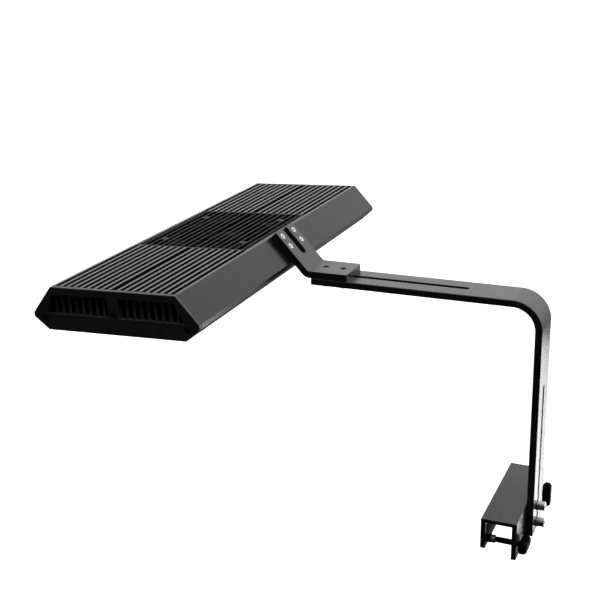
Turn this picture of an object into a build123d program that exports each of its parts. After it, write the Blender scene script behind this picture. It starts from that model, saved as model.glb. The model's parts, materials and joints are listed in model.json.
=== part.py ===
from build123d import *
from math import cos, radians, sin
import os

# Aquarium light on a rim clamp, in mm.
# The origin is the middle of the seat that rests on the tank rim.
# +X points out of the tank, +Y runs along the rim, +Z is up.

# ---- clamp: an upside-down channel that straddles the rim ----
RIM_GAP = 23.6
CLAMP_LENGTH = 114.5
CLAMP_TOP = 3.6
FLANGE = 4.4
OUTER_FLANGE_DROP = 32.2
INNER_FLANGE_DROP = 26.0
CLAMP_EDGE = 0.5
PAD_DEPTH = 1.0
PAD_PROUD = 0.2
PAD_LENGTH = 110.0
PAD_TOP = -4.0
PAD_BOTTOM = -24.0

# ---- arm: one flat bar, bent once, with two long slots ----
ARM_WIDTH = 38.0
ARM_THICK = 6.4
ARM_TOP = 197.5
ARM_BOTTOM = -28.2
ARM_FREE_END = -192.5
ARM_BEND = 27.0
SLOT_WIDTH = 6.0
REACH_SLOT = (-188.4, -47.1)
HEIGHT_SLOT = (-25.2, 115.4)
ARM_EDGE = 0.5

# ---- head of the lamp: a flattened octagon along Y, tipped a little ----
LAMP_X = -289.8
LAMP_Z = 212.0
LAMP_TILT = 2.62
LAMP_LENGTH = 400.0
HALF_HEIGHT = 18.9
TOP_HALF = 59.5
WAIST_HALF = 79.0
WAIST_TOP = -4.3
WAIST_BOTTOM = -8.0
FOOT_HALF = 65.7
SKIN = 3.0
WEDGE_LEVEL = 9.0
LIP_LEVEL = -12.8
LIP_HALF = 61.5
CORNER_BOSS = (67.7, -9.3)
CENTRE_BOSS = (0.0, -1.9)
BOSS_RADIUS = 3.1

# ---- end caps and gaskets ----
CAP_THICK = 4.0
CAP_EDGE = 0.4
WINDOW_IN = 5.0
WINDOW_OUT_TOP = 58.6
WINDOW_OUT_BOTTOM = 65.8
WINDOW_TOP = 12.5
HEAD_POCKET = 1.6
GASKET_THICK = 0.5
GASKET_INSET = 0.6
CABLE_ENTRY = (-68.0, -0.8)
ENTRY_RADIUS = 3.0

# ---- fins, deck and fan bay ----
FIN_COUNT = 8
FIN_PITCH = 6.72
FIRST_FIN = 4.4
FIN_THICK = 2.6
DECK_TOP = -4.4
DECK_THICK = 3.0
BAY_LENGTH = 133.4

# ---- grille over the bay, with two legs that clip into the bay's walls ----
GRILLE_THICK = 1.2
GRILLE_GAP = 0.3
SLAT_WIDTH = 1.4
SCREW_BOSS = 3.2
RAIL = 1.6
LEG_LENGTH = 100.0
CLIP_LEVEL = 8.0
CLIP_SPACING = 80.0
CLIP = (8.0, 2.0)
CLIP_GAP = 0.1

# ---- fan ----
FAN_SIZE = 92.0
FAN_DEPTH = 14.0
FAN_TOP = 14.7
FAN_HOLES = 82.5
FAN_CORNER = 4.0
DUCT_WALL = 1.5
HUB_RADIUS = 17.0
HUB_WALL = 2.0
HUB_TOP_WALL = 1.6
HUB_HEIGHT = 9.6
FAN_BASE = 2.0
STRUT_WIDTH = 4.0
BEARING_OUTER = 4.5
BEARING_BORE = 1.55
BEARING_HEIGHT = 7.0
COIL_HEIGHT = 5.6
MOTOR_GAP = 0.4
ROTOR_GAP = 0.6
AXLE_RADIUS = 1.5
AXLE_END_GAP = 0.3
BLADES = 9
BLADE_CHORD = 12.0
BLADE_THICK = 1.1
BLADE_SPAN = 27.0
BLADE_PITCH = 36
POLES = 4

# ---- light source ----
BOARD_LENGTH = 376.0
BOARD_WIDTH = 108.0
BOARD_THICK = 1.6
BOARD_CORNER = 2.0
BOARD_SCREW_EDGE = 5.0
BOARD_SCREW_END = 8.0
LED_COLUMNS = 15
LED_ROWS = 5
LED_PITCH = (19.0, 24.0)
LED_BASE = (3.5, 0.8)
LED_DOME = (1.5, 0.9)
COVER_THICK = 3.0
COVER_GAP = 0.1
COVER_SIDE_GAP = 0.3
GROOVE_TOP = -14.0
GROOVE_HALF = 64.5

# ---- driver board on the deck, in the left side channel ----
DRIVER_ACROSS = -66.2
DRIVER_ALONG = 130.0
DRIVER_SIZE = (11.6, 90.0)
DRIVER_FEET = (80.0, 1.6, 1.0)
DRIVER_THICK = 1.6
COMPONENT_ACROSS = -65.0
COMPONENTS = ((100, 7, 9, 5), (116, 6, 6, 4), (132, 7, 12, 3), (150, 5, 5, 5))

# ---- cable: out of the far cap, one bend down, an inline socket ----
CABLE_RADIUS = 2.2
CABLE_START = 184.0
CABLE_BEND_START = 212.0
CABLE_BEND = 10.0
CABLE_DROP = 24.0
GROMMET_FLANGE = (4.2, 1.4)
GROMMET_TAIL = 1.0
GROMMET_FIT = 0.05
SOCKET_NECK = (3.6, 8.0)
SOCKET_BODY = (5.2, 20.0)
SOCKET_BORE = (3.1, 10.0)
SOCKET_EDGE = 0.8

# ---- bracket between arm and lamp ----
BRACKET_THICK = 6.5
BRACKET_END = -156.9
BRACKET_BEND = 3.0
BRACKET_SLOT_WIDTH = 9.0
BRACKET_SLOT_DEPTH = 30.9
BRACKET_CORNER = 2.5
SCREWS_DOWN = 12.0
SCREW_SPACING = (11.6, 24.8)
SCREW_SINK = 0.1
SIDE_HOLE_DEPTH = 4.0
REACH_BOLTS = (-185.0, -167.5)

# ---- screws ----
M5 = 2.5
M5_HEAD = 4.25
M5_HEAD_HEIGHT = 5.0
M5_LOW_HEAD_HEIGHT = 3.5
M5_HEX = 4.0
M5_LENGTH = 12.0
WASHER_RADII = (5.0, 2.65)
WASHER_THICK = 1.0
SPRING_RADII = (4.4, 2.6)
SPRING_THICK = 1.2
SPRING_SLIT = 0.7
M3 = 1.5
M3_HEAD = 2.75
M3_HEAD_HEIGHT = 1.5
M3_HEX = 2.0
M3_SUNK_LENGTH = 10.0
M3_CAP_LENGTH = 9.0
M3_BOARD_LENGTH = 4.0
TAP = 0.02
LEAD_IN = 0.5
EASY = 0.2
BLIND_HOLE_FLOOR = 0.5
HEX_SHARE = 0.6
HEIGHT_SCREWS = (-5.5, -22.2)

# ---- thumbscrews ----
THUMB_Y = 49.0
THUMB_Z = -19.5
THUMB_RADIUS = 2.95
THUMB_HOLE = 3.0
THUMB_FOOT = (-11.5, -7.8)
THUMB_FOOT_RADIUS = 4.0
THUMB_FOOT_EDGE = 0.6
THUMB_SHOULDER = -3.7
COLLAR_RADIUS = 3.6
COLLAR_EDGE = 0.8
SHAFT_EDGE = 0.5
SWIVEL_PIN = (1.5, 2.8)
SWIVEL_HOLE = (1.55, 3.0)
KNOB = (18.0, 25.6)
KNOB_LOBE = 5.4
KNOB_SPREAD = 6.8
KNOB_SCOOP = 8.4
KNOB_SCOOP_OFFSET = 12.1
KNOB_EDGE = 1.9
KNOB_CROWN = 2.0

CHANNEL_IN = RIM_GAP / 2
CHANNEL_OUT = CHANNEL_IN + FLANGE
ARM_OUT = CHANNEL_OUT + ARM_THICK
HOUSING_LENGTH = LAMP_LENGTH - 2 * (CAP_THICK + GASKET_THICK)
WALL_FIN = FIRST_FIN + FIN_COUNT * FIN_PITCH
BAY_HALF = WALL_FIN - FIN_THICK / 2
DECK_BOTTOM = DECK_TOP - DECK_THICK
GROOVE_BOTTOM = GROOVE_TOP - COVER_THICK - 2 * COVER_GAP
FAN_BOTTOM = FAN_TOP - FAN_DEPTH
ROTOR_BOTTOM = FAN_BOTTOM + FAN_BASE + ROTOR_GAP
GRILLE_BOTTOM = HALF_HEIGHT - GRILLE_THICK
GRILLE_HALF = BAY_HALF - GRILLE_GAP
GRILLE_LENGTH = BAY_LENGTH - 2 * GRILLE_GAP
LED_LEVEL = DECK_BOTTOM - BOARD_THICK
BOARD_SCREWS_ACROSS = BOARD_WIDTH - 2 * BOARD_SCREW_EDGE
BOARD_SCREWS_ALONG = BOARD_LENGTH / 2 - BOARD_SCREW_END

ACROSS = Vector(cos(radians(LAMP_TILT)), 0, sin(radians(LAMP_TILT)))
UPWARD = Vector(-sin(radians(LAMP_TILT)), 0, cos(radians(LAMP_TILT)))
CENTRE = Vector(LAMP_X, 0, LAMP_Z)

os.makedirs("parts", exist_ok=True)


def keep(part, name):
    """Name a finished piece and write its STEP file."""
    part.label = name
    export_step(part, "parts/" + name + ".step")


def keep_group(parts, name):
    """Write several separate solids of one kind as one node."""
    keep(Compound(children=list(parts)), name)


def lamp_point(across, along, up):
    """A point given in the tipped axes of the lamp head."""
    return CENTRE + ACROSS * across + Vector(0, along, 0) + UPWARD * up


def lamp_section(along):
    """Plane across the lamp: x is across, y is up, normal is -Y."""
    return Plane(lamp_point(0, along, 0), x_dir=ACROSS, z_dir=(0, -1, 0))


def lamp_deck(up, across=0, along=0):
    """Plane parallel to the top of the lamp: x is across, y is +Y."""
    return Plane(lamp_point(across, along, up), x_dir=ACROSS, z_dir=UPWARD)


def facing_down(across, along, up):
    """Plane parallel to the deck that faces down."""
    return Plane(lamp_point(across, along, up), x_dir=ACROSS, z_dir=-UPWARD)


def rim_axis(x, y, z):
    """Plane facing +X: local x is +Y, local y is +Z."""
    return Plane((x, y, z), x_dir=(0, 1, 0), z_dir=(1, 0, 0))


def socket_screw(seat, radius, head, head_height, length, hex_width):
    """Socket screw: the head stands on the seat, the shank goes below it."""
    along = Axis(seat.origin, seat.z_dir)
    with BuildPart() as screw:
        with BuildSketch(seat):
            Circle(head)
        extrude(amount=head_height)
        chamfer(screw.edges().group_by(along)[-1], head / 10)
        with BuildSketch(seat):
            Circle(radius)
        extrude(amount=-length)
        chamfer(screw.edges().group_by(along)[0], radius / 5)
        with BuildSketch(seat.offset(head_height)):
            RegularPolygon(hex_width / 2, 6, major_radius=False)
        extrude(amount=-head_height * HEX_SHARE, mode=Mode.SUBTRACT)
    return screw.part


def m3_screw(seat, length):
    """Low-headed M3 socket screw."""
    return socket_screw(seat, M3, M3_HEAD, M3_HEAD_HEIGHT, length, M3_HEX)


def sunk_screw(face):
    """Countersunk M3 screw whose flat head lies in the plane of the face."""
    cone_height = M3_HEAD - M3
    with BuildPart() as screw:
        with Locations(face.offset(-cone_height / 2)):
            Cone(bottom_radius=M3, top_radius=M3_HEAD, height=cone_height)
        with BuildSketch(face):
            Circle(M3)
        extrude(amount=-M3_SUNK_LENGTH)
        with BuildSketch(face):
            RegularPolygon(M3_HEX / 2, 6, major_radius=False)
        extrude(amount=-cone_height, mode=Mode.SUBTRACT)
    return screw.part


def ring(seat, radii, thick):
    """Flat washer standing on the seat."""
    with BuildPart() as washer:
        with BuildSketch(seat):
            Circle(radii[0])
            Circle(radii[1], mode=Mode.SUBTRACT)
        extrude(amount=thick)
    return washer.part


def split_ring(seat):
    """Spring washer: a ring with one slanting slit."""
    outer, inner = SPRING_RADII
    slit = Plane(seat.from_local_coords((inner / 2, 0, 0)), x_dir=seat.y_dir, z_dir=seat.x_dir)
    with BuildPart() as washer:
        with BuildSketch(seat):
            Circle(outer)
            Circle(inner, mode=Mode.SUBTRACT)
        extrude(amount=SPRING_THICK)
        with BuildSketch(slit):
            Polygon(
                (-SPRING_SLIT, 0),
                (0, 0),
                (SPRING_SLIT, SPRING_THICK),
                (0, SPRING_THICK),
                align=None,
            )
        extrude(amount=outer, mode=Mode.SUBTRACT)
    return washer.part


def lock_screw(seat, head_height, name, place):
    """Flat washer, spring washer and M5 screw stacked on a seat, kept as three nodes."""
    spring_seat = seat.offset(WASHER_THICK)
    screw_seat = spring_seat.offset(SPRING_THICK)
    keep(ring(seat, WASHER_RADII, WASHER_THICK), name + "_washer_" + place)
    keep(split_ring(spring_seat), name + "_spring_washer_" + place)
    screw = socket_screw(screw_seat, M5, M5_HEAD, head_height, M5_LENGTH, M5_HEX)
    keep(screw, name + "_screw_" + place)


# ---------------------------------------------------------------- clamp
with BuildPart() as clamp_channel:
    with BuildSketch(Plane.XZ):
        with BuildLine():
            Polyline(
                (-CHANNEL_OUT, -INNER_FLANGE_DROP),
                (-CHANNEL_OUT, CLAMP_TOP),
                (CHANNEL_OUT, CLAMP_TOP),
                (CHANNEL_OUT, -OUTER_FLANGE_DROP),
                (CHANNEL_IN, -OUTER_FLANGE_DROP),
                (CHANNEL_IN, 0),
                (-CHANNEL_IN, 0),
                (-CHANNEL_IN, -INNER_FLANGE_DROP),
                close=True,
            )
        make_face()
    extrude(amount=CLAMP_LENGTH / 2, both=True)
    top_edges = clamp_channel.edges().filter_by(Axis.Y).group_by(Axis.Z)[-1]
    chamfer(top_edges, CLAMP_EDGE)
    with BuildSketch(rim_axis(-CHANNEL_IN, 0, (PAD_TOP + PAD_BOTTOM) / 2)):
        Rectangle(PAD_LENGTH, PAD_TOP - PAD_BOTTOM)
    extrude(amount=-PAD_DEPTH, mode=Mode.SUBTRACT)
    with BuildSketch(rim_axis(CHANNEL_IN, 0, 0)):
        with Locations((-THUMB_Y, THUMB_Z), (THUMB_Y, THUMB_Z)):
            Circle(THUMB_HOLE)
        with Locations(*[(0, z) for z in HEIGHT_SCREWS]):
            Circle(M5 + TAP)
    extrude(amount=FLANGE, mode=Mode.SUBTRACT)
keep(clamp_channel.part, "clamp_channel")

with BuildPart() as glass_pad:
    with BuildSketch(rim_axis(-CHANNEL_IN - PAD_DEPTH, 0, (PAD_TOP + PAD_BOTTOM) / 2)):
        Rectangle(PAD_LENGTH, PAD_TOP - PAD_BOTTOM)
    extrude(amount=PAD_DEPTH + PAD_PROUD)
keep(glass_pad.part, "glass_pad")

# ---------------------------------------------------------------- arm
with BuildPart() as arm:
    with BuildSketch(Plane.XZ):
        with BuildLine():
            Polyline(
                (ARM_FREE_END, ARM_TOP),
                (ARM_OUT, ARM_TOP),
                (ARM_OUT, ARM_BOTTOM),
                (CHANNEL_OUT, ARM_BOTTOM),
                (CHANNEL_OUT, ARM_TOP - ARM_THICK),
                (ARM_FREE_END, ARM_TOP - ARM_THICK),
                close=True,
            )
        make_face()
    extrude(amount=ARM_WIDTH / 2, both=True)
    out_and_up = Axis((0, 0, 0), (1, 0, 1))
    bend_edges = arm.edges().filter_by(Axis.Y).sort_by(out_and_up)[-2:]
    fillet(bend_edges[0], ARM_BEND - ARM_THICK)
    fillet(bend_edges[1], ARM_BEND)
    side_faces = arm.faces().filter_by(Axis.Y)
    chamfer(side_faces.edges(), ARM_EDGE)
    with BuildSketch(Plane.XY.offset(ARM_TOP)):
        with Locations((sum(REACH_SLOT) / 2, 0)):
            SlotOverall(REACH_SLOT[1] - REACH_SLOT[0], SLOT_WIDTH)
    extrude(amount=-ARM_THICK, mode=Mode.SUBTRACT)
    with BuildSketch(rim_axis(ARM_OUT, 0, sum(HEIGHT_SLOT) / 2)):
        SlotOverall(HEIGHT_SLOT[1] - HEIGHT_SLOT[0], SLOT_WIDTH, rotation=90)
    extrude(amount=-ARM_THICK, mode=Mode.SUBTRACT)
keep(arm.part, "arm")

# ---------------------------------------------------------------- bracket
TOP_EDGE = lamp_point(TOP_HALF, 0, HALF_HEIGHT)
SIDE_FOOT = lamp_point(WAIST_HALF, 0, WAIST_TOP)
DOWN_SIDE = (SIDE_FOOT - TOP_EDGE).normalized()
OUT_OF_SIDE = Vector(-DOWN_SIDE.Z, 0, DOWN_SIDE.X)
BRACKET_FACE = Plane(TOP_EDGE + OUT_OF_SIDE * BRACKET_THICK, x_dir=DOWN_SIDE, z_dir=OUT_OF_SIDE)


def on_level(start, level):
    """Where the line down the lamp's side from the start reaches a level."""
    return start + DOWN_SIDE * ((level - start.Z) / DOWN_SIDE.Z)


with BuildPart() as bracket:
    under_bend = on_level(TOP_EDGE, ARM_TOP)
    over_bend = on_level(BRACKET_FACE.origin, ARM_TOP + BRACKET_THICK)
    with BuildSketch(Plane.XZ):
        with BuildLine():
            Polyline(
                (TOP_EDGE.X, TOP_EDGE.Z),
                (BRACKET_FACE.origin.X, BRACKET_FACE.origin.Z),
                (over_bend.X, over_bend.Z),
                (BRACKET_END, ARM_TOP + BRACKET_THICK),
                (BRACKET_END, ARM_TOP),
                (under_bend.X, under_bend.Z),
                close=True,
            )
        make_face()
    extrude(amount=ARM_WIDTH / 2, both=True)
    bend_edges = bracket.edges().filter_by(Axis.Y).sort_by(Axis.X)[2:4]
    fillet(bend_edges[1], BRACKET_BEND)
    fillet(bend_edges[0], BRACKET_BEND + BRACKET_THICK)
    end_corners = bracket.edges().filter_by(Axis.Z).group_by(Axis.X)[-1]
    fillet(end_corners, BRACKET_CORNER)
    with BuildSketch(BRACKET_FACE):
        SlotCenterToCenter(2 * BRACKET_SLOT_DEPTH - BRACKET_SLOT_WIDTH, BRACKET_SLOT_WIDTH)
    extrude(amount=-BRACKET_THICK, mode=Mode.SUBTRACT)
    with Locations(BRACKET_FACE):
        with Locations((SCREWS_DOWN, 0)):
            with GridLocations(*SCREW_SPACING, 2, 2):
                CounterSinkHole(M3 + EASY, M3_HEAD + EASY, BRACKET_THICK, 90)
    with Locations(Plane.XY.offset(ARM_TOP + BRACKET_THICK)):
        with Locations(*[(x, 0) for x in REACH_BOLTS]):
            CounterSinkHole(M5 + TAP, M5 + LEAD_IN, BRACKET_THICK, 90)
keep(bracket.part, "bracket")


def bracket_screw_planes(depth):
    """One plane per bracket screw, parallel to the bracket's face, at a depth below it."""
    planes = []
    for i in (-0.5, 0.5):
        for j in (-0.5, 0.5):
            down = SCREWS_DOWN + i * SCREW_SPACING[0]
            spot = BRACKET_FACE.from_local_coords((down, j * SCREW_SPACING[1], -depth))
            planes.append(Plane(spot, x_dir=DOWN_SIDE, z_dir=OUT_OF_SIDE))
    return planes


keep_group([sunk_screw(face) for face in bracket_screw_planes(SCREW_SINK)], "bracket_screws")

# ------------------------------------------------- screws that lock the arm
for place, height in zip(("upper", "lower"), HEIGHT_SCREWS):
    lock_screw(rim_axis(ARM_OUT, 0, height), M5_HEAD_HEIGHT, "height", place)

for place, x in zip(("inner", "outer"), REACH_BOLTS):
    under_arm = Plane((x, 0, ARM_TOP - ARM_THICK), x_dir=(1, 0, 0), z_dir=(0, 0, -1))
    lock_screw(under_arm, M5_LOW_HEAD_HEIGHT, "reach", place)

# ---------------------------------------------------------------- thumbscrews
for name, y, wing in (("near", -THUMB_Y, (0, 1, 0)), ("far", THUMB_Y, (0, 0, 1))):
    with BuildPart() as pad:
        with BuildSketch(rim_axis(THUMB_FOOT[0], y, THUMB_Z)):
            Circle(THUMB_FOOT_RADIUS)
        extrude(amount=THUMB_FOOT[1] - THUMB_FOOT[0])
        fillet(pad.edges().group_by(Axis.X)[0], THUMB_FOOT_EDGE)
    keep(pad.part, "thumb_pad_" + name)

    with BuildPart() as collar:
        with BuildSketch(rim_axis(THUMB_FOOT[1], y, THUMB_Z)):
            Circle(COLLAR_RADIUS)
        extrude(amount=THUMB_SHOULDER - THUMB_FOOT[1])
        chamfer(collar.edges().group_by(Axis.X)[-1], COLLAR_EDGE)
        with BuildSketch(rim_axis(THUMB_SHOULDER, y, THUMB_Z)):
            Circle(SWIVEL_HOLE[0])
        extrude(amount=-SWIVEL_HOLE[1], mode=Mode.SUBTRACT)
    keep(collar.part, "thumb_collar_" + name)

    with BuildPart() as shaft:
        with BuildSketch(rim_axis(THUMB_SHOULDER, y, THUMB_Z)):
            Circle(THUMB_RADIUS)
        extrude(amount=KNOB[1] - KNOB_CROWN - THUMB_SHOULDER)
        chamfer(shaft.edges().group_by(Axis.X)[0], SHAFT_EDGE)
        with BuildSketch(rim_axis(THUMB_SHOULDER, y, THUMB_Z)):
            Circle(SWIVEL_PIN[0])
        extrude(amount=-SWIVEL_PIN[1])
    keep(shaft.part, "thumb_shaft_" + name)

    with BuildPart() as knob:
        grip = Plane((KNOB[0], y, THUMB_Z), x_dir=wing, z_dir=(1, 0, 0))
        with BuildSketch(grip):
            SlotCenterToCenter(2 * KNOB_SPREAD, 2 * KNOB_LOBE)
        extrude(amount=KNOB[1] - KNOB[0])
        chamfer(knob.edges().group_by(Axis.X)[0], KNOB_EDGE)
        chamfer(knob.edges().group_by(Axis.X)[-1], KNOB_EDGE)
        with BuildSketch(grip):
            with Locations((0, KNOB_SCOOP_OFFSET), (0, -KNOB_SCOOP_OFFSET)):
                Circle(KNOB_SCOOP)
        extrude(amount=KNOB[1] - KNOB[0], mode=Mode.SUBTRACT)
        with BuildSketch(rim_axis(KNOB[0], y, THUMB_Z)):
            Circle(THUMB_RADIUS)
        extrude(amount=KNOB[1] - KNOB_CROWN - KNOB[0], mode=Mode.SUBTRACT)
    keep(knob.part, "thumb_knob_" + name)


# ---------------------------------------------------------------- lamp head
def mirrored(half):
    """A closed outline from the points of its right half, top to bottom."""
    return half + [(-u, v) for u, v in reversed(half)]


OCTAGON = mirrored(
    [
        (TOP_HALF, HALF_HEIGHT),
        (WAIST_HALF, WAIST_TOP),
        (WAIST_HALF, WAIST_BOTTOM),
        (FOOT_HALF, -HALF_HEIGHT),
    ]
)


def fin_spots():
    """Across positions of every free-standing fin."""
    right = [FIRST_FIN + i * FIN_PITCH for i in range(FIN_COUNT)]
    return [-u for u in reversed(right)] + right


def boss_spots():
    """Screw positions of an end cap."""
    return [(-CORNER_BOSS[0], CORNER_BOSS[1]), CENTRE_BOSS, CORNER_BOSS]


fin_height = HALF_HEIGHT - DECK_TOP
side_slope = (WAIST_HALF - TOP_HALF) / (HALF_HEIGHT - WAIST_TOP)
foot_slope = (WAIST_HALF - FOOT_HALF) / (HALF_HEIGHT + WAIST_BOTTOM)
skin_across = SKIN * (1 + side_slope**2) ** 0.5
foot_across = SKIN * (1 + foot_slope**2) ** 0.5


def inside_side(up):
    """Inner face of the slanted skin at a level above the waist."""
    return TOP_HALF + (HALF_HEIGHT - up) * side_slope - skin_across


def inside_foot(up):
    """Inner face of the skin at a level below the waist."""
    return WAIST_HALF - (WAIST_BOTTOM - up) * foot_slope - foot_across


with BuildPart() as housing:
    with BuildSketch(lamp_section(0)):
        Polygon(*OCTAGON, align=None)
        light_chamber = mirrored([(inside_foot(v), v) for v in (DECK_BOTTOM, LIP_LEVEL)])
        Polygon(*light_chamber, align=None, mode=Mode.SUBTRACT)
        with Locations((0, (LIP_LEVEL - HALF_HEIGHT) / 2)):
            Rectangle(2 * LIP_HALF, HALF_HEIGHT + LIP_LEVEL, mode=Mode.SUBTRACT)
        with Locations((0, (GROOVE_TOP + GROOVE_BOTTOM) / 2)):
            Rectangle(2 * GROOVE_HALF, GROOVE_TOP - GROOVE_BOTTOM, mode=Mode.SUBTRACT)
        with Locations((0, DECK_TOP + fin_height / 2)):
            Rectangle(2 * BAY_HALF, fin_height, mode=Mode.SUBTRACT)
        with Locations(*[(u, DECK_TOP + fin_height / 2) for u in fin_spots()]):
            Rectangle(FIN_THICK, fin_height)
        with Locations((0, CENTRE_BOSS[1])):
            Rectangle(2 * FIRST_FIN, 2 * (CENTRE_BOSS[1] - DECK_TOP))
        for side in (-1, 1):
            side_channel = [
                (side * (BAY_HALF + FIN_THICK), WEDGE_LEVEL),
                (side * inside_side(WEDGE_LEVEL), WEDGE_LEVEL),
                (side * inside_side(DECK_TOP), DECK_TOP),
                (side * (BAY_HALF + FIN_THICK), DECK_TOP),
            ]
            Polygon(*side_channel, align=None, mode=Mode.SUBTRACT)
            with Locations((side * CORNER_BOSS[0], CORNER_BOSS[1])):
                Circle(BOSS_RADIUS)
        with Locations(*boss_spots()):
            Circle(M3 + TAP, mode=Mode.SUBTRACT)
    extrude(amount=HOUSING_LENGTH / 2, both=True)
    with BuildSketch(lamp_deck(DECK_TOP)):
        Rectangle(2 * BAY_HALF, BAY_LENGTH)
    extrude(amount=fin_height, mode=Mode.SUBTRACT)
    for seat in bracket_screw_planes(BRACKET_THICK):
        with BuildSketch(seat):
            Circle(M3 + TAP)
        extrude(amount=-SIDE_HOLE_DEPTH, mode=Mode.SUBTRACT)
    with BuildSketch(lamp_deck(DECK_BOTTOM)):
        with GridLocations(BOARD_SCREWS_ACROSS, BOARD_SCREWS_ALONG, 2, 3):
            Circle(M3 + TAP)
    extrude(amount=DECK_THICK - BLIND_HOLE_FLOOR, mode=Mode.SUBTRACT)
    with BuildSketch(lamp_deck(CLIP_LEVEL)):
        with GridLocations(2 * BAY_HALF, CLIP_SPACING, 2, 2):
            Rectangle(RAIL + 2 * CLIP_GAP, CLIP[0] + 2 * CLIP_GAP)
    extrude(amount=CLIP[1] + 2 * CLIP_GAP, mode=Mode.SUBTRACT)
keep(housing.part, "heat_sink_housing")

# ---------------------------------------------------------------- end caps
for name, end in (("near", -1), ("far", 1)):
    outer = lamp_section(end * LAMP_LENGTH / 2)
    seat = lamp_section(end * (LAMP_LENGTH / 2 - CAP_THICK))
    with BuildPart() as cap:
        with BuildSketch(seat):
            Polygon(*OCTAGON, align=None)
        extrude(amount=-end * CAP_THICK)
        outer_face = cap.faces().sort_by(Axis.Y)[0 if end < 0 else -1]
        chamfer(outer_face.outer_wire().edges(), CAP_EDGE)
        with BuildSketch(seat):
            for side in (-1, 1):
                window = [
                    (side * WINDOW_IN, WINDOW_TOP),
                    (side * WINDOW_OUT_TOP, WINDOW_TOP),
                    (side * WINDOW_OUT_BOTTOM, DECK_TOP),
                    (side * WINDOW_IN, DECK_TOP),
                ]
                Polygon(*window, align=None)
            with Locations(*boss_spots()):
                Circle(M3 + EASY)
            if end > 0:
                with Locations(CABLE_ENTRY):
                    Circle(ENTRY_RADIUS)
        extrude(amount=-end * CAP_THICK, mode=Mode.SUBTRACT)
        with BuildSketch(outer):
            with Locations(*boss_spots()):
                Circle(M3_HEAD + EASY)
        extrude(amount=end * HEAD_POCKET, mode=Mode.SUBTRACT)
    keep(cap.part, "end_cap_" + name)

    with BuildPart() as gasket:
        with BuildSketch(lamp_section(end * HOUSING_LENGTH / 2)):
            Polygon(*OCTAGON, align=None)
            offset(amount=-GASKET_INSET, kind=Kind.INTERSECTION, mode=Mode.REPLACE)
            with Locations((0, HALF_HEIGHT)):
                Rectangle(2 * WINDOW_OUT_BOTTOM, 2 * (HALF_HEIGHT - DECK_TOP), mode=Mode.SUBTRACT)
            with Locations(*boss_spots()):
                Circle(M3 + EASY, mode=Mode.SUBTRACT)
            if end > 0:
                with Locations(CABLE_ENTRY):
                    Circle(ENTRY_RADIUS, mode=Mode.SUBTRACT)
        extrude(amount=-end * GASKET_THICK)
    keep(gasket.part, "end_gasket_" + name)

# ---------------------------------------------------------------- light source
with BuildPart() as led_board:
    with BuildSketch(lamp_deck(LED_LEVEL)):
        RectangleRounded(BOARD_WIDTH, BOARD_LENGTH, BOARD_CORNER)
        with GridLocations(BOARD_SCREWS_ACROSS, BOARD_SCREWS_ALONG, 2, 3):
            Circle(M3 + EASY, mode=Mode.SUBTRACT)
    extrude(amount=BOARD_THICK)
keep(led_board.part, "led_board")

board_screws = []
for across in (-0.5, 0.5):
    for along in (-1, 0, 1):
        seat = facing_down(across * BOARD_SCREWS_ACROSS, along * BOARD_SCREWS_ALONG, LED_LEVEL)
        board_screws.append(m3_screw(seat, M3_BOARD_LENGTH))
keep_group(board_screws, "led_board_screws")

emitters = []
for column in range(LED_COLUMNS):
    for row in range(LED_ROWS):
        across = (row - (LED_ROWS - 1) / 2) * LED_PITCH[0]
        along = (column - (LED_COLUMNS - 1) / 2) * LED_PITCH[1]
        under = facing_down(across, along, LED_LEVEL)
        with BuildPart() as emitter:
            with BuildSketch(under):
                Rectangle(LED_BASE[0], LED_BASE[0])
            extrude(amount=LED_BASE[1])
            with BuildSketch(under.offset(LED_BASE[1])):
                Circle(LED_DOME[0])
            extrude(amount=LED_DOME[1], taper=30)
        emitters.append(emitter.part)
keep_group(emitters, "led_emitters")

with BuildPart() as cover:
    with BuildSketch(lamp_deck(GROOVE_BOTTOM + COVER_GAP)):
        Rectangle(2 * (GROOVE_HALF - COVER_SIDE_GAP), HOUSING_LENGTH)
    extrude(amount=COVER_THICK)
keep(cover.part, "light_cover")

# ---------------------------------------------------------------- fan and grille
with BuildPart() as grille:
    with BuildSketch(lamp_deck(GRILLE_BOTTOM)):
        Rectangle(2 * GRILLE_HALF, GRILLE_LENGTH)
        Rectangle(2 * (GRILLE_HALF - RAIL), GRILLE_LENGTH - 2 * RAIL, mode=Mode.SUBTRACT)
        with Locations(*[(u, 0) for u in fin_spots()]):
            Rectangle(SLAT_WIDTH, GRILLE_LENGTH)
        with GridLocations(FAN_HOLES, FAN_HOLES, 2, 2):
            Circle(SCREW_BOSS)
    extrude(amount=GRILLE_THICK)
    with BuildSketch(lamp_deck(FAN_TOP)):
        with GridLocations(FAN_HOLES, FAN_HOLES, 2, 2):
            Circle(SCREW_BOSS)
    extrude(amount=GRILLE_BOTTOM - FAN_TOP)
    with BuildSketch(lamp_deck(DECK_TOP)):
        with GridLocations(2 * GRILLE_HALF - RAIL, 0, 2, 1):
            Rectangle(RAIL, LEG_LENGTH)
    extrude(amount=GRILLE_BOTTOM - DECK_TOP)
    with BuildSketch(lamp_deck(CLIP_LEVEL + CLIP_GAP)):
        with GridLocations(2 * GRILLE_HALF, CLIP_SPACING, 2, 2):
            Rectangle(RAIL, CLIP[0])
    extrude(amount=CLIP[1])
    with BuildSketch(lamp_deck(FAN_TOP)):
        with GridLocations(FAN_HOLES, FAN_HOLES, 2, 2):
            Circle(M3 + TAP)
    extrude(amount=HALF_HEIGHT - FAN_TOP - BLIND_HOLE_FLOOR, mode=Mode.SUBTRACT)
keep(grille.part, "fan_grille")

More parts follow.
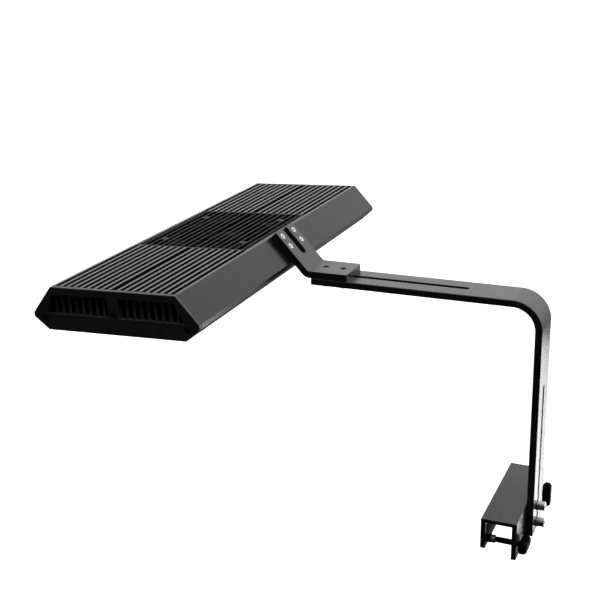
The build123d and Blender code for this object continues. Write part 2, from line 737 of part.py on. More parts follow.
with BuildPart() as fan_frame:
    with BuildSketch(lamp_deck(FAN_BOTTOM)):
        RectangleRounded(FAN_SIZE, FAN_SIZE, FAN_CORNER)
        Circle(FAN_SIZE / 2 - DUCT_WALL, mode=Mode.SUBTRACT)
        with GridLocations(FAN_HOLES, FAN_HOLES, 2, 2):
            Circle(M3 + EASY, mode=Mode.SUBTRACT)
    extrude(amount=FAN_DEPTH)
    with BuildSketch(lamp_deck(FAN_BOTTOM)):
        with PolarLocations(FAN_SIZE / 4 + STRUT_WIDTH, 4, start_angle=45):
            Rectangle(FAN_SIZE / 2 - HUB_RADIUS / 3, STRUT_WIDTH)
        Circle(HUB_RADIUS)
    extrude(amount=FAN_BASE)
    with BuildSketch(lamp_deck(FAN_BOTTOM + FAN_BASE)):
        Circle(BEARING_OUTER)
    extrude(amount=BEARING_HEIGHT)
    with BuildSketch(lamp_deck(FAN_BOTTOM + FAN_BASE / 2)):
        Circle(BEARING_BORE)
    extrude(amount=FAN_BASE / 2 + BEARING_HEIGHT, mode=Mode.SUBTRACT)
keep(fan_frame.part, "fan_frame")

with BuildPart() as coil:
    with BuildSketch(lamp_deck(FAN_BOTTOM + FAN_BASE + MOTOR_GAP)):
        Circle(HUB_RADIUS / 2)
        with PolarLocations(HUB_RADIUS / 2, POLES):
            Rectangle(HUB_RADIUS / 2, HUB_RADIUS / 3)
        Circle(BEARING_OUTER + MOTOR_GAP / 4, mode=Mode.SUBTRACT)
    extrude(amount=COIL_HEIGHT)
keep(coil.part, "fan_motor_coil")

with BuildPart() as rotor:
    with BuildSketch(lamp_deck(ROTOR_BOTTOM)):
        Circle(HUB_RADIUS)
    extrude(amount=HUB_HEIGHT)
    with BuildSketch(lamp_deck(ROTOR_BOTTOM)):
        Circle(HUB_RADIUS - HUB_WALL)
    extrude(amount=HUB_HEIGHT - HUB_TOP_WALL, mode=Mode.SUBTRACT)
    with BuildSketch(lamp_deck(FAN_BOTTOM + FAN_BASE / 2 + AXLE_END_GAP)):
        Circle(AXLE_RADIUS)
    extrude(amount=HUB_HEIGHT)
    for i in range(BLADES):
        turn = radians(360 * i / BLADES)
        outward = ACROSS * cos(turn) + Vector(0, sin(turn), 0)
        forward = Vector(0, cos(turn), 0) - ACROSS * sin(turn)
        hub_middle = lamp_point(0, 0, ROTOR_BOTTOM + HUB_HEIGHT / 2)
        root = hub_middle + outward * (HUB_RADIUS - HUB_WALL / 2)
        with BuildSketch(Plane(root, x_dir=forward, z_dir=outward)):
            Rectangle(BLADE_CHORD, BLADE_THICK, rotation=-BLADE_PITCH)
        extrude(amount=BLADE_SPAN)
keep(rotor.part, "fan_rotor")

fan_screws = []
for i in (-0.5, 0.5):
    for j in (-0.5, 0.5):
        seat = facing_down(i * FAN_HOLES, j * FAN_HOLES, FAN_BOTTOM)
        fan_screws.append(m3_screw(seat, FAN_DEPTH + GRILLE_BOTTOM - FAN_TOP))
keep_group(fan_screws, "fan_screws")

cap_screws = []
for end in (-1, 1):
    for across, up in boss_spots():
        spot = lamp_point(across, end * (LAMP_LENGTH / 2 - HEAD_POCKET), up)
        cap_screws.append(m3_screw(Plane(spot, x_dir=ACROSS, z_dir=(0, end, 0)), M3_CAP_LENGTH))
keep_group(cap_screws, "end_cap_screws")

# ---------------------------------------------------------------- driver and cable
feet_spacing, feet_radius, feet_height = DRIVER_FEET
driver_level = DECK_TOP + feet_height
with BuildPart() as driver_board:
    with BuildSketch(lamp_deck(driver_level, DRIVER_ACROSS, DRIVER_ALONG)):
        Rectangle(*DRIVER_SIZE)
    extrude(amount=DRIVER_THICK)
    with BuildSketch(lamp_deck(DECK_TOP, DRIVER_ACROSS, DRIVER_ALONG)):
        with GridLocations(0, feet_spacing, 1, 2):
            Circle(feet_radius)
    extrude(amount=feet_height)
keep(driver_board.part, "driver_board")

driver_parts = []
for along, wide, long, tall in COMPONENTS:
    with BuildPart() as component:
        with BuildSketch(lamp_deck(driver_level + DRIVER_THICK, COMPONENT_ACROSS, along)):
            Rectangle(wide, long)
        extrude(amount=tall)
    driver_parts.append(component.part)
keep_group(driver_parts, "driver_components")

far_end = LAMP_LENGTH / 2
with BuildPart() as grommet:
    with BuildSketch(lamp_section(far_end)):
        with Locations(CABLE_ENTRY):
            Circle(GROMMET_FLANGE[0])
    extrude(amount=-GROMMET_FLANGE[1])
    with BuildSketch(lamp_section(far_end)):
        with Locations(CABLE_ENTRY):
            Circle(ENTRY_RADIUS - GROMMET_FIT)
    extrude(amount=CAP_THICK + GROMMET_TAIL)
    with BuildSketch(lamp_section(far_end + GROMMET_FLANGE[1])):
        with Locations(CABLE_ENTRY):
            Circle(CABLE_RADIUS)
    extrude(amount=GROMMET_FLANGE[1] + CAP_THICK + GROMMET_TAIL, mode=Mode.SUBTRACT)
keep(grommet.part, "cable_grommet")

cable_start = lamp_point(CABLE_ENTRY[0], CABLE_START, CABLE_ENTRY[1])
bend_start = lamp_point(CABLE_ENTRY[0], CABLE_BEND_START, CABLE_ENTRY[1])
bend_end = bend_start + Vector(0, CABLE_BEND, -CABLE_BEND)
cable_end = bend_end - Vector(0, 0, CABLE_DROP)
with BuildPart() as cable:
    with BuildLine():
        Line(cable_start, bend_start)
        TangentArc(bend_start, bend_end, tangent=(0, 1, 0))
        Line(bend_end, cable_end)
    with BuildSketch(Plane(cable_start, z_dir=(0, 1, 0))):
        Circle(CABLE_RADIUS)
    sweep()
keep(cable.part, "power_cable")

socket_top = Plane(cable_end, z_dir=(0, 0, -1))
neck_radius, neck_length = SOCKET_NECK
body_radius, body_length = SOCKET_BODY
bore_radius, bore_depth = SOCKET_BORE
with BuildPart() as socket:
    with BuildSketch(socket_top):
        Circle(neck_radius)
    extrude(amount=neck_length)
    with BuildSketch(socket_top.offset(neck_length)):
        Circle(body_radius)
    extrude(amount=body_length)
    chamfer(socket.edges().group_by(Axis.Z)[0], SOCKET_EDGE)
    with BuildSketch(socket_top.offset(neck_length + body_length)):
        Circle(bore_radius)
    extrude(amount=-bore_depth, mode=Mode.SUBTRACT)
keep(socket.part, "power_plug")
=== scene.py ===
"""Looks of the aquarium light: fine pieces, materials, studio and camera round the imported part."""

import json
import math

import bmesh
import bpy
from mathutils import Matrix, Vector, noise


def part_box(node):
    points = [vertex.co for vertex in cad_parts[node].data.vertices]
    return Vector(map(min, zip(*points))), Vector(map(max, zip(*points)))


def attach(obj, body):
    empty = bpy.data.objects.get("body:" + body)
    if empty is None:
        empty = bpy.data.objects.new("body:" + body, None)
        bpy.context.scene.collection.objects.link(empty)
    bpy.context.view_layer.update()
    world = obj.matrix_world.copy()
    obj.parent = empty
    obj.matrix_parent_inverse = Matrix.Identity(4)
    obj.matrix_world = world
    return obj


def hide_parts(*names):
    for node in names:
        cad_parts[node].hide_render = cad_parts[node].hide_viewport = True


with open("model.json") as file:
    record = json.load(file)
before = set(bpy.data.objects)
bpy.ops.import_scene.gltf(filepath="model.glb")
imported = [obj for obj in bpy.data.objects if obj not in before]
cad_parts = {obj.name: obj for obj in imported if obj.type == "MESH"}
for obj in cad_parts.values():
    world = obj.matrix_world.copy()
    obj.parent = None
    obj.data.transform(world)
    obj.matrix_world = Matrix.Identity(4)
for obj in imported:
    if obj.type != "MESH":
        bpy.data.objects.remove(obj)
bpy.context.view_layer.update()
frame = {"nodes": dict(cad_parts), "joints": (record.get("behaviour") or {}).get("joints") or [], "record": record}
NODES = frame["nodes"]
FAN_JOINT = next(joint for joint in frame["joints"] if joint["name"] == "fan_spin")
MM = 0.001

# The row's own directions and those of the tilted lamp.
ROW_X = Vector((1, 0, 0))
ROW_Y = Vector((0, 1, 0))
ROW_Z = Vector((0, 0, 1))
LAMP_UP = Vector(FAN_JOINT["axis"]).normalized()
LAMP_ACROSS = ROW_Y.cross(LAMP_UP).normalized()

scene = bpy.context.scene
scene.view_settings.view_transform = "Standard"
scene.view_settings.look = "None"


# ---------------------------------------------------------------- shader helpers
class Graph:
    """Short calls that add and join the nodes of one shader tree."""

    def __init__(self, tree):
        self.tree = tree
        self.tree.nodes.clear()

    def feed(self, socket, value):
        """Join a socket to another socket, or give it a plain value."""
        if isinstance(value, bpy.types.NodeSocket):
            self.tree.links.new(value, socket)
        else:
            socket.default_value = value

    def add(self, kind, settings=None, **inputs):
        node = self.tree.nodes.new(kind)
        for key, value in (settings or {}).items():
            setattr(node, key, value)
        for key, value in inputs.items():
            self.feed(node.inputs[key.replace("_", " ")], value)
        return node

    def math(self, operation, a, b=0.0, c=0.0):
        node = self.add("ShaderNodeMath", {"operation": operation})
        for socket, value in zip(node.inputs, (a, b, c)):
            self.feed(socket, value)
        return node.outputs[0]

    def span(self, value, low, high, new_low=0.0, new_high=1.0, shape="LINEAR"):
        """Map a value from one span to another, clamped."""
        node = self.add("ShaderNodeMapRange", {"interpolation_type": shape}, Value=value)
        for index, number in enumerate((low, high, new_low, new_high)):
            node.inputs[index + 1].default_value = number
        return node.outputs[0]


class Look(Graph):
    """One material, with its surface shader and the helpers that paint it."""

    def __init__(self, name):
        self.material = bpy.data.materials.new(name)
        self.material.use_nodes = True
        super().__init__(self.material.node_tree)
        self.out = self.add("ShaderNodeOutputMaterial")
        self.skin = self.add("ShaderNodeBsdfPrincipled")
        self.feed(self.out.inputs["Surface"], self.skin.outputs[0])
        coordinates = self.add("ShaderNodeTexCoord")
        self.place = coordinates.outputs["Object"]
        self.normal = coordinates.outputs["Normal"]

    def set(self, **inputs):
        """Set or join inputs of the surface shader."""
        for key, value in inputs.items():
            self.feed(self.skin.inputs[key.replace("_", " ")], value)

    def stretched(self, x=1.0, y=1.0, z=1.0):
        """The object's own coordinates in millimetres, each axis times a factor."""
        node = self.add("ShaderNodeMapping", Vector=self.place)
        node.inputs["Scale"].default_value = (x / MM, y / MM, z / MM)
        return node.outputs[0]

    def noise(self, vector, scale, detail=3.0, rough=0.55):
        node = self.add("ShaderNodeTexNoise", Vector=vector, Scale=scale, Detail=detail, Roughness=rough)
        return node.outputs[0]

    def cells(self, vector, scale, feature="F1"):
        node = self.add("ShaderNodeTexVoronoi", {"feature": feature}, Vector=vector, Scale=scale)
        return node.outputs["Distance"]

    def blend(self, amount, a, b):
        """Mix two colours."""
        node = self.add("ShaderNodeMix", {"data_type": "RGBA"})
        self.feed(node.inputs[0], amount)
        self.feed(node.inputs[6], a)
        self.feed(node.inputs[7], b)
        return node.outputs[2]

    def swing(self, value, reach, middle):
        """A value that swings about the middle as a noise swings about one half."""
        return self.math("MULTIPLY_ADD", self.math("SUBTRACT", value, 0.5), reach, middle)

    def bump(self, height, distance, strength=1.0, normal=None):
        node = self.add("ShaderNodeBump", Height=height, Distance=distance, Strength=strength)
        if normal is not None:
            self.feed(node.inputs["Normal"], normal)
        return node.outputs[0]

    def edges(self, radius):
        """About 1 on convex and concave edges, 0 on flat ground."""
        soft = self.add("ShaderNodeBevel", {"samples": 4}, Radius=radius).outputs[0]
        flat = self.add("ShaderNodeNewGeometry").outputs["Normal"]
        dot = self.add("ShaderNodeVectorMath", {"operation": "DOT_PRODUCT"})
        self.feed(dot.inputs[0], soft)
        self.feed(dot.inputs[1], flat)
        return self.span(dot.outputs["Value"], 0.995, 0.8)


def grey(level, warm=0.0):
    """A neutral linear colour, a little warm or cool."""
    return (level * (1 + warm), level, level * (1 - warm), 1.0)


def anodised(name, dark, light, rough, lines, wear, ior, painted_end_light=None):
    """Black anodised aluminium: fine blast grain, draw lines along an axis, rubbed edges, and, if
    a level is given, faces that look along Y painted paler, painted light on the ends."""
    g = Look(name)
    cloud = g.noise(g.stretched(), 0.035, 4.0)
    grain = g.noise(g.stretched(), 3.2, 2.0, 0.7)
    drawn = g.noise(g.stretched(*lines), 1.0, 4.0, 0.6)
    tone = g.math("MULTIPLY_ADD", cloud, 0.55, g.math("MULTIPLY", drawn, 0.45))
    base = g.blend(g.span(tone, 0.3, 0.7), grey(dark, 0.02), grey(light))
    if painted_end_light is not None:
        # Faces that look along Y turn paler: painted light on the lamp's ends.
        facing = g.add("ShaderNodeSeparateXYZ", Vector=g.normal).outputs["Y"]
        base = g.blend(g.span(g.math("ABSOLUTE", facing), 0.8, 0.95), base, grey(painted_end_light))
    patchy = g.span(g.noise(g.stretched(), 0.05, 3.0, 0.5), 0.2, 0.6)
    rubbed = g.math("MULTIPLY", g.math("MULTIPLY", g.edges(0.55 * MM), patchy), wear)
    g.set(Base_Color=g.blend(rubbed, base, grey(0.32)), IOR=ior)
    g.set(Metallic=g.math("MULTIPLY", rubbed, 0.8))
    g.set(Roughness=g.swing(cloud, 0.1, g.swing(drawn, 0.12, rough)))
    g.set(Normal=g.bump(drawn, 0.02 * MM, 0.25, g.bump(grain, 0.012 * MM, 0.4)))
    return g.material


def plastic(name, level, rough, grain_scale, grain_depth, shine=0.5):
    """Moulded plastic with a spark-eroded grain and a few polished corners."""
    g = Look(name)
    grain = g.cells(g.stretched(), grain_scale)
    cloud = g.noise(g.stretched(), 0.05, 4.0)
    g.set(Base_Color=g.blend(g.span(cloud, 0.3, 0.7), grey(level * 0.8, 0.01), grey(level * 1.25, -0.01)))
    worn = g.math("MULTIPLY", g.edges(0.4 * MM), g.span(cloud, 0.4, 0.65))
    g.set(Roughness=g.math("MULTIPLY_ADD", worn, -0.14, g.swing(cloud, 0.2, rough)))
    g.set(Normal=g.bump(grain, grain_depth * MM, 0.6), Specular_IOR_Level=shine)
    return g.material


def bare_metal(name, colour, rough, rings=(1, 1, 1)):
    """Bright metal with fine turning marks, a little smudging, and painted shade in its deep corners."""
    g = Look(name)
    smudge = g.noise(g.stretched(), 0.5, 4.0)
    marks = g.noise(g.stretched(*rings), 2.5, 3.0, 0.6)
    duller = tuple(channel * 0.82 for channel in colour[:3]) + (1.0,)
    shade = g.blend(g.span(smudge, 0.35, 0.7), colour, duller)
    # Ambient occlusion darkens the colour in sockets and tight corners: painted shade.
    painted_recess_shade = g.add("ShaderNodeAmbientOcclusion", {"samples": 4}, Distance=1.2 * MM).outputs["AO"]
    g.set(Base_Color=g.blend(g.span(painted_recess_shade, 0.3, 0.75), grey(0.02), shade), Metallic=1.0)
    g.set(Roughness=g.swing(marks, 0.12, g.swing(smudge, 0.2, rough)))
    g.set(Normal=g.bump(marks, 0.012 * MM, 0.4))
    return g.material


def rubber(name, level, rough):
    """Soft black rubber: matt, dusty in places, faintly pitted."""
    g = Look(name)
    dust = g.noise(g.stretched(), 0.3, 5.0, 0.7)
    pits = g.cells(g.stretched(), 2.4, "SMOOTH_F1")
    g.set(Base_Color=g.blend(g.span(dust, 0.45, 0.8), grey(level), grey(level * 2.4, 0.05)))
    g.set(Roughness=g.span(dust, 0.3, 0.8, rough, rough - 0.15))
    g.set(Normal=g.bump(pits, 0.03 * MM, 0.5), Sheen_Weight=0.15, Sheen_Roughness=0.5)
    return g.material


def board(name, colour, trace, pad):
    """Circuit board: solder mask over raised copper tracks, bare pads here and there."""
    g = Look(name)
    brick = g.add("ShaderNodeTexBrick", {"offset": 0.5}, Vector=g.stretched(), Scale=0.16)
    brick.inputs["Mortar Size"].default_value = 0.06
    brick.inputs["Mortar Smooth"].default_value = 0.2
    track = g.span(brick.outputs["Fac"], 0.0, 1.0)
    spots = g.span(g.cells(g.stretched(1, 1, 0.2), 0.22), 0.12, 0.08)
    mask = g.noise(g.stretched(), 0.4, 3.0)
    base = g.blend(spots, g.blend(track, colour, trace), pad)
    g.set(Base_Color=g.blend(g.span(mask, 0.3, 0.9, 0.0, 0.3), base, grey(0.4)))
    g.set(Metallic=g.math("MULTIPLY", spots, 0.8))
    g.set(Roughness=g.span(mask, 0.3, 0.7, 0.3, 0.42), Normal=g.bump(track, 0.05 * MM, 0.6))
    return g.material


def phosphor():
    """Yellow phosphor under a clear silicone dome."""
    g = Look("led_lens")
    speck = g.noise(g.stretched(), 6.0, 3.0)
    g.set(Base_Color=g.blend(g.span(speck, 0.35, 0.65), (0.85, 0.5, 0.03, 1), (0.9, 0.62, 0.1, 1)))
    g.set(Roughness=g.span(speck, 0.3, 0.7, 0.12, 0.22), Coat_Weight=0.8, Coat_Roughness=0.05)
    g.set(Normal=g.bump(speck, 0.01 * MM, 0.3))
    return g.material


def clear():
    """Clear acrylic with faint smears."""
    g = Look("clear_cover")
    smear = g.noise(g.stretched(1, 0.3, 1), 0.12, 5.0, 0.6)
    g.set(Base_Color=(0.93, 0.96, 0.97, 1.0), IOR=1.49, Transmission_Weight=0.94)
    g.set(Roughness=g.span(smear, 0.4, 0.75, 0.0, 0.05), Normal=g.bump(smear, 0.01 * MM, 0.05))
    return g.material


def component():
    """Moulded body of an electronic part, speckled and matt."""
    g = Look("component_black")
    speck = g.noise(g.stretched(), 2.5, 3.0)
    g.set(Base_Color=g.blend(g.span(speck, 0.4, 0.7), grey(0.02), grey(0.05)))
    g.set(Roughness=g.span(speck, 0.3, 0.7, 0.4, 0.6), Normal=g.bump(speck, 0.03 * MM, 0.4))
    return g.material


# ---------------------------------------------------------------- materials
KNOB = plastic("knob_plastic", 0.002, 0.6, 1.4, 0.02, 0.04)
SHAFT = plastic("screw_black", 0.006, 0.45, 2.2, 0.01, 0.25)
FAN = plastic("fan_plastic", 0.002, 0.65, 1.2, 0.006, 0.04)
CERAMIC = plastic("white_ceramic", 0.72, 0.35, 3.0, 0.005)
STEEL = bare_metal("stainless", (0.95, 0.95, 0.96, 1.0), 0.34)
BLACK_STEEL = anodised("black_steel", 0.01, 0.02, 0.38, (1, 1, 1), 0.4, 1.6)
RUBBER = rubber("soft_rubber", 0.018, 0.75)
JACKET = rubber("cable_jacket", 0.02, 0.55)
LENS = phosphor()
COMPONENT = component()

LOOKS = {
    "black_bar": anodised("black_bar", 0.034, 0.046, 0.26, (0.6, 0.05, 0.05), 0.5, 1.75),
    "heat_sink": anodised("heat_sink", 0.008, 0.012, 0.23, (3.0, 0.02, 3.0), 1.0, 1.5, 0.16),
    "cap_plastic": plastic("cap_plastic", 0.06, 0.42, 1.6, 0.012, 0.7),
    "grille_plastic": plastic("grille_plastic", 0.003, 0.42, 2.0, 0.008, 0.2),
    "fan_plastic": FAN,
    "copper": bare_metal("copper", (0.72, 0.33, 0.16, 1.0), 0.3, (0.3, 6.0, 0.3)),
    "stainless": STEEL,
    "white_board": board("white_board", (0.62, 0.63, 0.61, 1), (0.5, 0.51, 0.49, 1), (0.7, 0.62, 0.4, 1)),
    "green_board": board("green_board", (0.02, 0.16, 0.06, 1), (0.04, 0.24, 0.1, 1), (0.75, 0.68, 0.4, 1)),
    "component_black": COMPONENT,
    "led_lens": LENS,
    "clear_cover": clear(),
    "soft_rubber": RUBBER,
    "cable_jacket": JACKET,
    "knob_plastic": KNOB,
    "black_steel": BLACK_STEEL,
    "screw_black": SHAFT,
}

for entry in frame["record"]["subparts"]:
    mesh = NODES[entry["node"]].data
    mesh.materials.clear()
    mesh.materials.append(LOOKS[entry["material_slot"]])


# ---------------------------------------------------------------- mesh helpers
def as_piece(name, shell, look, sharp=35):
    """A smooth mesh whose edges sharper than the angle stay crisp, in the row frame."""
    verts, faces = shell
    data = bpy.data.meshes.new(name)
    data.from_pydata([tuple(v) for v in verts], [], faces)
    data.validate()
    tidy = bmesh.new()
    tidy.from_mesh(data)
    bmesh.ops.recalc_face_normals(tidy, faces=tidy.faces)
    tidy.to_mesh(data)
    tidy.free()
    data.shade_smooth()
    data.set_sharp_from_angle(angle=math.radians(sharp))
    data.materials.append(look)
    piece = bpy.data.objects.new(name, data)
    scene.collection.objects.link(piece)
    return piece


def stand_in(piece, body, slot, *nodes):
    """The piece rides on a body and is shown in place of CAD nodes."""
    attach(piece, body)
    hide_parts(*nodes)


def tube(rings, hollow=False):
    """A shell through rings that all have the same number of points. Its ends are closed, or, if
    it is hollow, its last ring joins its first."""
    count = len(rings[0])
    verts = [point for ring in rings for point in ring]
    total = len(verts)
    faces = []
    for start in range(0, total if hollow else total - count, count):
        above = (start + count) % total
        for i in range(count):
            j = (i + 1) % count
            faces.append((start + i, start + j, above + j, above + i))
    if not hollow:
        faces.append(tuple(reversed(range(count))))
        faces.append(tuple(range(total - count, total)))
    return verts, faces


def lathe(profile, steps, place, hollow=False):
    """A closed round shell. The profile holds (radius, height) in millimetres along the placing
    matrix's Z, and a radius may be a function of the angle."""
    rings = []
    for radius, height in profile:
        ring = []
        for i in range(steps):
            angle = math.tau * i / steps
            reach = radius(angle) if callable(radius) else radius
            spot = Vector((reach * math.cos(angle), reach * math.sin(angle), height))
            ring.append(place @ (spot * MM))
        rings.append(ring)
    return tube(rings, hollow)


def rounded_block(place, wide, long, low, high, soft, corner=0.5):
    """A box with cut corners and softened rims, on the placing matrix's XY plane."""
    rings = []
    for height, shrink in ((low, soft), (low + soft, 0), (high - soft, 0), (high, soft)):
        x = wide / 2 - shrink
        y = long / 2 - shrink
        ring = [(x, y - corner), (x - corner, y), (corner - x, y), (-x, y - corner)]
        ring += [(-x, corner - y), (corner - x, -y), (x - corner, -y), (x, corner - y)]
        rings.append([place @ (Vector((u, v, height)) * MM) for u, v in ring])
    return tube(rings)


def together(shells):
    """Join several shells into one."""
    verts = []
    faces = []
    for more_verts, more_faces in shells:
        start = len(verts)
        verts += more_verts
        faces += [tuple(i + start for i in face) for face in more_faces]
    return verts, faces


def axes(origin, along, side):
    """Placing matrix: origin, local Z along one direction, local Y as near as possible to another."""
    z = Vector(along).normalized()
    x = Vector(side).cross(z).normalized()
    y = z.cross(x)
    matrix = Matrix((x, y, z)).transposed().to_4x4()
    matrix.translation = origin
    return matrix


def spread(points, direction):
    """Lowest and highest reach of points along a direction."""
    reach = [point.dot(direction) for point in points]
    return min(reach), max(reach)


def rounded_middle(island):
    """The mean point of an island in tenths of a millimetre, to sort islands by."""
    middle = sum(island, Vector()) / len(island)
    return tuple(round(value / MM, 1) for value in middle)


def separate_solids(node):
    """The corner points of each separate solid of a CAD node."""
    mesh = bmesh.new()
    mesh.from_mesh(NODES[node].data)
    bmesh.ops.remove_doubles(mesh, verts=mesh.verts, dist=0.001 * MM)
    unseen = set(mesh.verts)
    found = []
    while unseen:
        queue = [unseen.pop()]
        island = []
        while queue:
            vert = queue.pop()
            island.append(vert.co.copy())
            for edge in vert.link_edges:
                other = edge.other_vert(vert)
                if other in unseen:
                    unseen.remove(other)
                    queue.append(other)
        found.append(island)
    mesh.free()
    return sorted(found, key=rounded_middle)


def head_end(points, direction):
    """Placing matrix at the outer end of a round solid, local Z pointing out along the direction."""
    out = Vector(direction).normalized()
    side = ROW_Y if abs(out.y) < 0.5 else ROW_Z
    turn = axes((0, 0, 0), out, side).to_3x3()
    origin = out * spread(points, out)[1]
    for axis in (turn.col[0], turn.col[1]):
        origin += axis * sum(spread(points, axis)) / 2
    return axes(origin, out, side)


def soften(piece, width, segments=2):
    """Round off a mesh's sharp edges without changing its vertices."""
    piece.modifiers.new("join", "WELD").merge_threshold = 0.002 * MM
    flat = piece.modifiers.new("flat", "DECIMATE")
    flat.decimate_type = "DISSOLVE"
    flat.angle_limit = math.radians(0.5)
    bevel = piece.modifiers.new("soft", "BEVEL")
    bevel.width = width * MM
    bevel.segments = segments
    bevel.limit_method = "ANGLE"
    bevel.angle_limit = math.radians(30)
    bevel.harden_normals = True
    piece.modifiers.new("even", "WEIGHTED_NORMAL").keep_sharp = True


# ---------------------------------------------------------------- threads and screw heads
# Screws are described in millimetres: radii, pitch and half the width of the hex socket.
M5 = {"radius": 2.5, "pitch": 0.8, "head": 4.25, "hex_half": 2.0}
M3 = {"radius": 1.5, "pitch": 0.5, "head": 2.75, "hex_half": 1.0}
CORE = 0.82


def hexagon(across_flats):
    """Radius of a hexagon as a function of the angle."""
    sixth = math.tau / 6
    return lambda angle: across_flats / 2 / math.cos((angle + sixth / 2) % sixth - sixth / 2)


def ribbed(radius, depth, ribs):
    """Radius of a knurled rim as a function of the angle."""
    return lambda angle: radius - depth * abs(math.sin(angle * ribs / 2))


def thread(radius, pitch, depth, low, high, per_turn):
    """Profile of a screw thread between two heights. Both ends run out into the core."""
    count = math.ceil((high - low) / pitch * per_turn)
    profile = []
    for i in range(count + 1):
        height = low + (high - low) * i / count
        strength = min(1.0, (height - low) / pitch, (high - height) / pitch)

        def ridge(angle, height=height, strength=strength):
            turn = (height / pitch - angle / math.tau) % 1.0
            rise = min(1.0, max(0.0, 1.15 - 1.3 * abs(2 * turn - 1)))
            return radius - depth + depth * rise * strength

        profile.append((ridge, height))
    return profile


def shank(place, size, top, length, steps=24, per_turn=6):
    """Threaded shank of a screw size that hangs below the local height called top."""
    core = size["radius"] * CORE
    tip = [(core * 0.4, top - length), (core * 0.8, top - length)]
    depth = size["radius"] - core
    ridge = thread(size["radius"], size["pitch"], depth, top - length + 0.3, top - 0.5, per_turn)
    return lathe(tip + ridge + [(core, top), (core, top + 0.2)], steps, place)


def recess(radius, top, depth, mouth):
    """Profile of a hex socket that goes down from a flat top."""
    socket = hexagon(radius * 2)
    return [
        (lambda angle: max(socket(angle) + 0.05, mouth), top),
        (socket, top - 0.15),
        (socket, top - depth),
        (lambda angle: socket(angle) * 0.5, top - depth - 0.15),
        (0.05, top - depth - 0.2),
    ]


def cap_head(place, size, height, ribs):
    """Cylindrical screw head with a knurled side. Its top lies in local Z = 0."""
    head = size["head"]
    hex_half = size["hex_half"]
    knurl = ribbed(head, 0.14, ribs)
    side = [(head - 0.3, -height), (head - 0.05, 0.1 - height), (knurl, 0.4 - height), (knurl, -0.75)]
    rim = [(head - 0.1, -0.6), (head - 0.25, -0.25), (head - 0.6, -0.05), (head - 0.8, 0.0)]
    return lathe(side + rim + recess(hex_half, 0.0, height * 0.55, hex_half * 1.2), 4 * ribs, place)


def button_head(place, size, height):
    """Low domed screw head. Its top lies in local Z = 0."""
    head = size["head"]
    hex_half = size["hex_half"]
    dome = [(head - 0.1, -height), (head, -height + 0.15), (head - 0.05, -height * 0.55)]
    dome += [(head - 0.35, -height * 0.25), (head - 0.9, -0.06), (head - 1.2, 0.0)]
    return lathe(dome + recess(hex_half, 0.0, height * 0.6, hex_half * 1.15), 48, place)


def sunk_head(place, size):
    """Countersunk head with a slightly dished face. Its rim lies in local Z = 0."""
    head = size["head"]
    radius = size["radius"]
    hex_half = size["hex_half"]
    cone = [(radius * 0.8, radius - head), (head - 0.08, -0.12), (head, -0.02), (head - 0.1, 0.0)]
    dish = [(head - 0.7, 0.0), (head - 0.85, -0.1), (hex_half + 0.35, -0.16)]
    return lathe(cone + dish + recess(hex_half, -0.18, 1.0, hex_half * 1.1), 48, place)


# ---------------------------------------------------------------- screws
LOCK_SHANK = 12.0
BUTTON_HEIGHT = 1.5


def lock_screws(side, ends, direction, height):
    """The two M5 cap screws that lock one slide."""
    for end in ends:
        node = f"{side}_screw_{end}"
        place = head_end(separate_solids(node)[0], direction)
        shells = [cap_head(place, M5, height, 32), shank(place, M5, -height, LOCK_SHANK, 40, 8)]
        screw = as_piece(f"socket_{node}", together(shells), STEEL)
        stand_in(screw, f"{side}_bolt_{end}", "stainless", node)


def slant_normal():
    """The way the bracket's slanting leg faces."""
    faces = [f for f in NODES["bracket"].data.polygons if f.normal.x > 0.3 and f.normal.z > 0.3]
    return max(faces, key=lambda f: f.area).normal


def countersunk_screws():
    shells = []
    for island in separate_solids("bracket_screws"):
        place = head_end(island, slant_normal())
        shells += [sunk_head(place, M3), shank(place, M3, -1.2, 8.7)]
    piece = as_piece("countersunk_screws", together(shells), STEEL)
    stand_in(piece, "lamp", "stainless", "bracket_screws")


def button_screws(node, name, look, slot, facing):
    """Every M3 button screw of a CAD node. Its head faces the way that facing gives for a point."""
    shells = []
    for island in separate_solids(node):
        out = facing(island[0])
        low, high = spread(island, out)
        length = (high - low) / MM - BUTTON_HEIGHT
        place = head_end(island, out)
        shells += [button_head(place, M3, BUTTON_HEIGHT), shank(place, M3, -BUTTON_HEIGHT, length)]
    stand_in(as_piece(name, together(shells), look), "lamp", slot, node)


def lamp_downward(point):
    return -LAMP_UP


def lamp_endward(point):
    return ROW_Y * (1 if point.y > 0 else -1)


lock_screws("height", ("upper", "lower"), ROW_X, 5.0)
lock_screws("reach", ("inner", "outer"), -ROW_Z, 3.5)
countersunk_screws()
button_screws("fan_screws", "fan_button_screws", STEEL, "stainless", lamp_downward)
button_screws("led_board_screws", "board_button_screws", STEEL, "stainless", lamp_downward)
button_screws("end_cap_screws", "cap_button_screws", BLACK_STEEL, "black_steel", lamp_endward)


# ---------------------------------------------------------------- thumbscrews
def threaded_shaft(end):
    """Black shaft with a plain stub under the knob and a pin that turns in the collar."""
    low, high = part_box("thumb_shaft_" + end)
    knob_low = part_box("thumb_knob_" + end)[0]
    collar_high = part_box("thumb_collar_" + end)[1]
    middle = (low + high) / 2
    root = axes((collar_high.x, middle.y, middle.z), ROW_X, ROW_Z)
    pin = (collar_high.x - low.x) / MM
    length = (high.x - collar_high.x) / MM
    plain = (high.x - knob_low.x) / MM
    profile = [(1.2, -pin), (1.48, -pin + 0.3), (1.48, -0.05), (2.2, 0.0)]
    profile += thread(2.95, 1.0, 0.55, 0.1, length - plain, 8)
    profile += [(2.9, length - plain + 0.2), (2.9, length)]
    shaft = as_piece("threaded_shaft_" + end, lathe(profile, 48, root), SHAFT)
    stand_in(shaft, "thumb_screw_" + end, "screw_black", "thumb_shaft_" + end)


